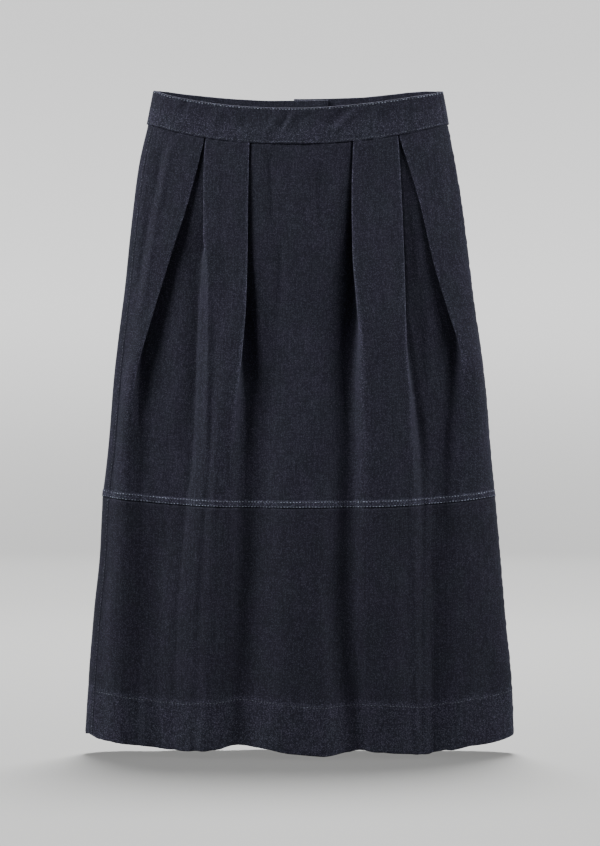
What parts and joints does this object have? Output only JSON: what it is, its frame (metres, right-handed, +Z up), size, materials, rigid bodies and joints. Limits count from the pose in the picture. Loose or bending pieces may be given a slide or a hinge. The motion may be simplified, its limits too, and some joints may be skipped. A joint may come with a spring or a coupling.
{
  "type": "denim skirt",
  "caption": "Knee-length denim skirt on a contoured waistband, with front pleats that open into soft folds, a deep hem tier and a concealed back zip.",
  "frame": {"origin": "midway between the two top corners of the waistband, where the skirt is held", "axes": "+Z up, the front faces -Y and the wearer's left is +X"},
  "size_m": [0.5522, 0.1052, 0.847],
  "materials": {
    "denim": "matte indigo denim with a visible twill and pale slubs",
    "zip_tape": "dark woven zip tape",
    "zip_metal": "dull plated zip metal"
  },
  "bodies": {
    "skirt": {"waistband": "denim", "front_panel": "denim", "back_panel_left": "denim", "back_panel_right": "denim", "front_tier": "denim", "back_tier": "denim", "zip_tape": "zip_tape", "zip_slider": "zip_metal"},
    "pull": {"zip_pull": "zip_metal"}
  },
  "joints": [
    {"name": "zip_pull_swing", "type": "hinge", "parent": "skirt", "child": "pull", "pos_m": [-0.00086, 0.03501, -0.06], "axis": [1, 0, 0], "range_deg": [0, 150]}
  ]
}
